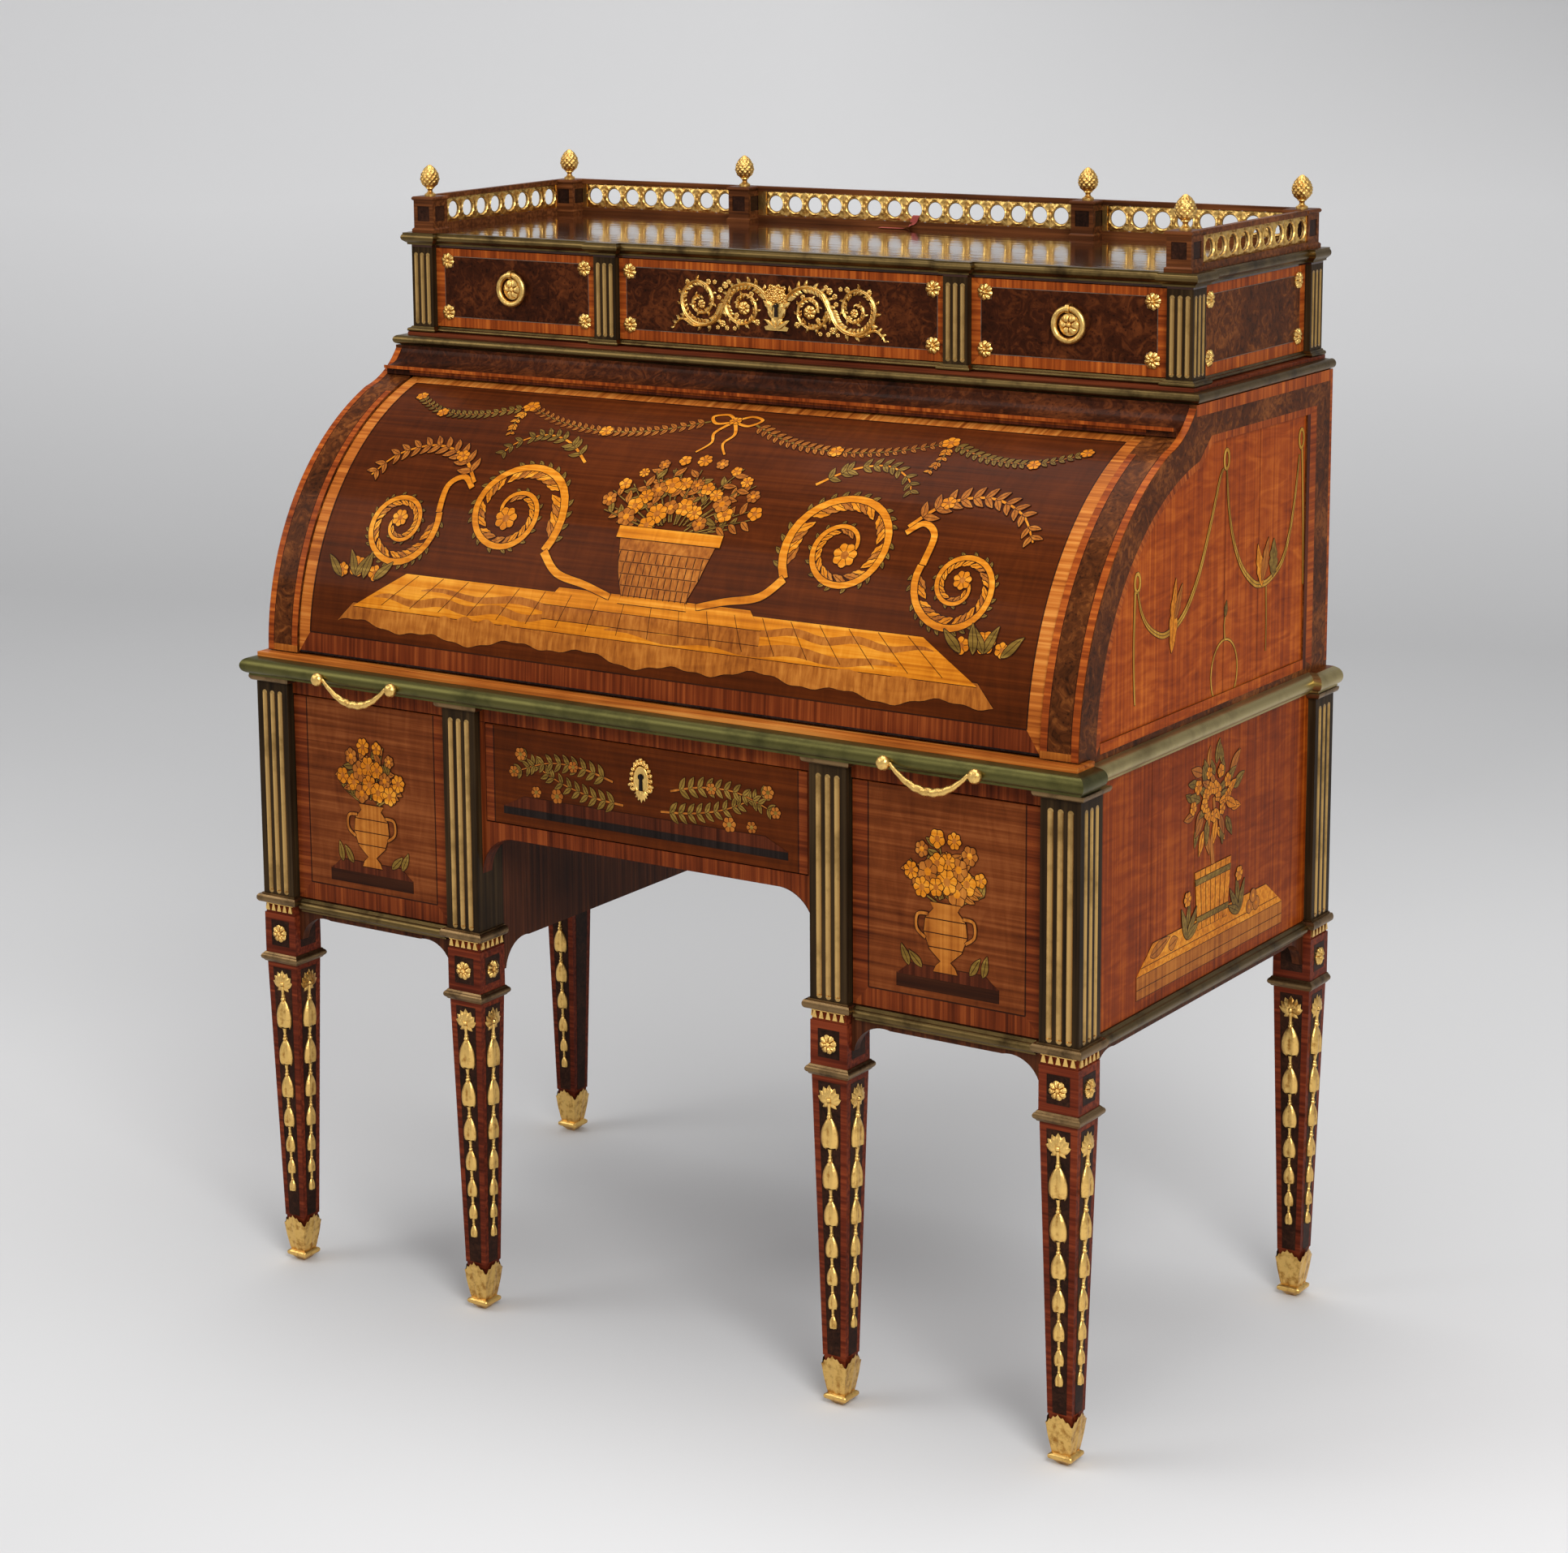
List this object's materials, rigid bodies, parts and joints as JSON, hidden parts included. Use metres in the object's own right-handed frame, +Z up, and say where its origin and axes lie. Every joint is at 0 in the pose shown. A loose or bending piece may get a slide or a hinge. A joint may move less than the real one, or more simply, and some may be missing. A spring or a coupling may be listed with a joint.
{
  "type": "cylinder desk",
  "caption": "Neoclassical roll-top writing desk on tapered legs with a curved roll linked to a writing slide, drawers and a pierced gallery.",
  "frame": {"origin": "on the floor under the middle of the desk's overall box", "axes": "+X to the viewer's right when facing the front, +Y from front to back, +Z up"},
  "size_m": [1.1604, 0.652, 1.359],
  "materials": {
    "burl": "french polished burl veneer",
    "crossband": "french polished orange crossband veneer",
    "roll_veneer": "french polished red-brown veneer with inlay",
    "maple": "french polished figured veneer",
    "oak": "bare carcase wood",
    "mahogany": "polished interior wood",
    "top_veneer": "high gloss dark veneer",
    "brass": "lacquered moulding brass",
    "gilt": "gilt bronze",
    "iron": "plain iron fittings"
  },
  "bodies": {
    "desk": {"leg_front_left": "burl", "leg_front_inner_left": "burl", "leg_front_inner_right": "burl", "leg_front_right": "burl", "leg_rear_left": "burl", "leg_rear_right": "burl", "posts_left": "burl", "posts_right": "burl", "casing_left": "burl", "casing_right": "burl", "attic_pilasters": "burl", "gallery_posts": "burl", "cove": "burl", "kneehole_frame": "crossband", "pedestal_left": "maple", "pedestal_right": "maple", "top_board": "oak", "upper_back": "oak", "nest": "mahogany", "attic_carcase": "mahogany", "attic_top": "top_veneer", "gallery_rails": "top_veneer", "leg_collars": "brass", "flutes": "brass", "post_mouldings": "brass", "bottom_moulding": "brass", "waist_moulding": "brass", "attic_mouldings": "brass", "cornice": "brass", "gallery_rings": "brass", "leg_sabots": "gilt", "finials": "gilt", "leg_screws": "iron", "axle_pins": "iron"},
    "slide": {"writing_slide": "mahogany", "slide_moulding": "brass", "swag_posts": "gilt", "slide_brackets": "iron"},
    "swag_handle_left": {"swag_left": "gilt"},
    "swag_handle_right": {"swag_right": "gilt"},
    "roll": {"roll_panel": "roll_veneer", "roll_arms": "iron"},
    "attic_drawer_left": {"attic_drawer_left_front": "burl", "attic_drawer_left_box": "oak", "ring_plate_left": "gilt"},
    "attic_drawer_centre": {"attic_drawer_centre_front": "burl", "attic_drawer_centre_box": "oak"},
    "attic_drawer_right": {"attic_drawer_right_front": "burl", "attic_drawer_right_box": "oak", "ring_plate_right": "gilt"},
    "ring_pull_left": {"ring_left": "gilt"},
    "ring_pull_right": {"ring_right": "gilt"},
    "frieze_drawer": {"frieze_drawer_front": "crossband", "frieze_drawer_box": "oak"},
    "pedestal_drawer_left": {"pedestal_drawer_left_front": "crossband", "pedestal_drawer_left_box": "oak"},
    "pedestal_drawer_right": {"pedestal_drawer_right_front": "crossband", "pedestal_drawer_right_box": "oak"},
    "small_drawer_left": {"nest_drawer_left": "mahogany"},
    "small_drawer_right": {"nest_drawer_right": "mahogany"}
  },
  "joints": [
    {"name": "slide_pull", "type": "slide", "parent": "desk", "child": "slide", "axis": [0, -1, 0], "range_m": [0, 0.236]},
    {"name": "roll_turn", "type": "hinge", "parent": "desk", "child": "roll", "pos_m": [0, 0.046, 0.784], "axis": [-1, 0, 0], "range_deg": [0, 66]},
    {"name": "swag_left_swing", "type": "hinge", "parent": "slide", "child": "swag_handle_left", "pos_m": [-0.3965, -0.3195, 0.768], "axis": [-1, 0, 0], "range_deg": [0, 75]},
    {"name": "swag_right_swing", "type": "hinge", "parent": "slide", "child": "swag_handle_right", "pos_m": [0.3965, -0.3195, 0.768], "axis": [-1, 0, 0], "range_deg": [0, 75]},
    {"name": "attic_drawer_left_pull", "type": "slide", "parent": "desk", "child": "attic_drawer_left", "axis": [0, -1, 0], "range_m": [0, 0.22]},
    {"name": "attic_drawer_centre_pull", "type": "slide", "parent": "desk", "child": "attic_drawer_centre", "axis": [0, -1, 0], "range_m": [0, 0.22]},
    {"name": "attic_drawer_right_pull", "type": "slide", "parent": "desk", "child": "attic_drawer_right", "axis": [0, -1, 0], "range_m": [0, 0.22]},
    {"name": "ring_left_swing", "type": "hinge", "parent": "attic_drawer_left", "child": "ring_pull_left", "pos_m": [-0.389, -0.004, 1.2283], "axis": [-1, 0, 0], "range_deg": [0, 80]},
    {"name": "ring_right_swing", "type": "hinge", "parent": "attic_drawer_right", "child": "ring_pull_right", "pos_m": [0.389, -0.004, 1.2283], "axis": [-1, 0, 0], "range_deg": [0, 80]},
    {"name": "frieze_drawer_pull", "type": "slide", "parent": "desk", "child": "frieze_drawer", "axis": [0, -1, 0], "range_m": [0, 0.36]},
    {"name": "pedestal_drawer_left_pull", "type": "slide", "parent": "desk", "child": "pedestal_drawer_left", "axis": [0, -1, 0], "range_m": [0, 0.36]},
    {"name": "pedestal_drawer_right_pull", "type": "slide", "parent": "desk", "child": "pedestal_drawer_right", "axis": [0, -1, 0], "range_m": [0, 0.36]},
    {"name": "small_drawer_left_pull", "type": "slide", "parent": "desk", "child": "small_drawer_left", "axis": [0, -1, 0], "range_m": [0, 0.14]},
    {"name": "small_drawer_right_pull", "type": "slide", "parent": "desk", "child": "small_drawer_right", "axis": [0, -1, 0], "range_m": [0, 0.14]}
  ],
  "couplings": [
    {"joint": "roll_turn", "follows": "slide_pull", "rad_per_m": 4.88}
  ]
}
